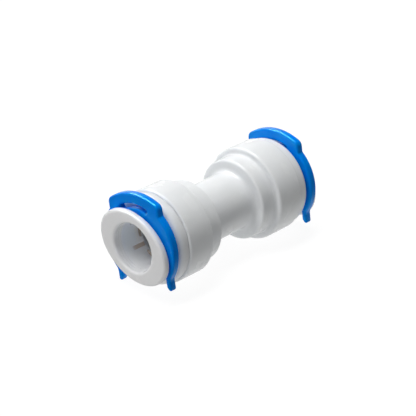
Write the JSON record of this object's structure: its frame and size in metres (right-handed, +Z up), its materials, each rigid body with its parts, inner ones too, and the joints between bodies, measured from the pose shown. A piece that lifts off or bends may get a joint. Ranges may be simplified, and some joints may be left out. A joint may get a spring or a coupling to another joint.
{
  "type": "push-fit tube coupling",
  "caption": "Push-fit straight coupling that joins rigid plastic tubes end to end, with gripping collets, rubber seals and removable locking clips.",
  "frame": {"origin": "on the surface it lies on, under the middle of the coupling", "axes": "+X along the coupling towards the far port, +Z up, +Y to the side that the clips lean to"},
  "size_m": [0.0428, 0.0186, 0.0194],
  "materials": {
    "body_plastic": "satin white moulded plastic",
    "collet_plastic": "satin white moulded plastic",
    "clip_plastic": "glossy blue moulded plastic",
    "spacer_plastic": "plain moulded plastic",
    "seal_rubber": "smooth black rubber",
    "tooth_steel": "bright stainless steel"
  },
  "bodies": {
    "housing": {"coupling_body": "body_plastic", "near_end_cap": "body_plastic", "near_spacer_ring": "spacer_plastic", "near_o_ring": "seal_rubber", "far_end_cap": "body_plastic", "far_spacer_ring": "spacer_plastic", "far_o_ring": "seal_rubber"},
    "near_collet_set": {"near_collet": "collet_plastic", "near_grip_tooth_1": "tooth_steel", "near_grip_tooth_2": "tooth_steel", "near_grip_tooth_3": "tooth_steel", "near_grip_tooth_4": "tooth_steel", "near_grip_tooth_5": "tooth_steel", "near_grip_tooth_6": "tooth_steel"},
    "near_clip": {"near_locking_clip": "clip_plastic"},
    "far_collet_set": {"far_collet": "collet_plastic", "far_grip_tooth_1": "tooth_steel", "far_grip_tooth_2": "tooth_steel", "far_grip_tooth_3": "tooth_steel", "far_grip_tooth_4": "tooth_steel", "far_grip_tooth_5": "tooth_steel", "far_grip_tooth_6": "tooth_steel"},
    "far_clip": {"far_locking_clip": "clip_plastic"}
  },
  "joints": [
    {"name": "near_collet_slide", "type": "slide", "parent": "housing", "child": "near_collet_set", "axis": [-1, 0, 0], "range_m": [-0.0003, 0.00045]},
    {"name": "near_clip_slide", "type": "slide", "parent": "near_collet_set", "child": "near_clip", "axis": [0, 0.1909, 0.9816], "range_m": [0, 0.018]},
    {"name": "far_collet_slide", "type": "slide", "parent": "housing", "child": "far_collet_set", "axis": [1, 0, 0], "range_m": [-0.0003, 0.00045]},
    {"name": "far_clip_slide", "type": "slide", "parent": "far_collet_set", "child": "far_clip", "axis": [0, 0.1479, 0.989], "range_m": [0, 0.018]}
  ]
}
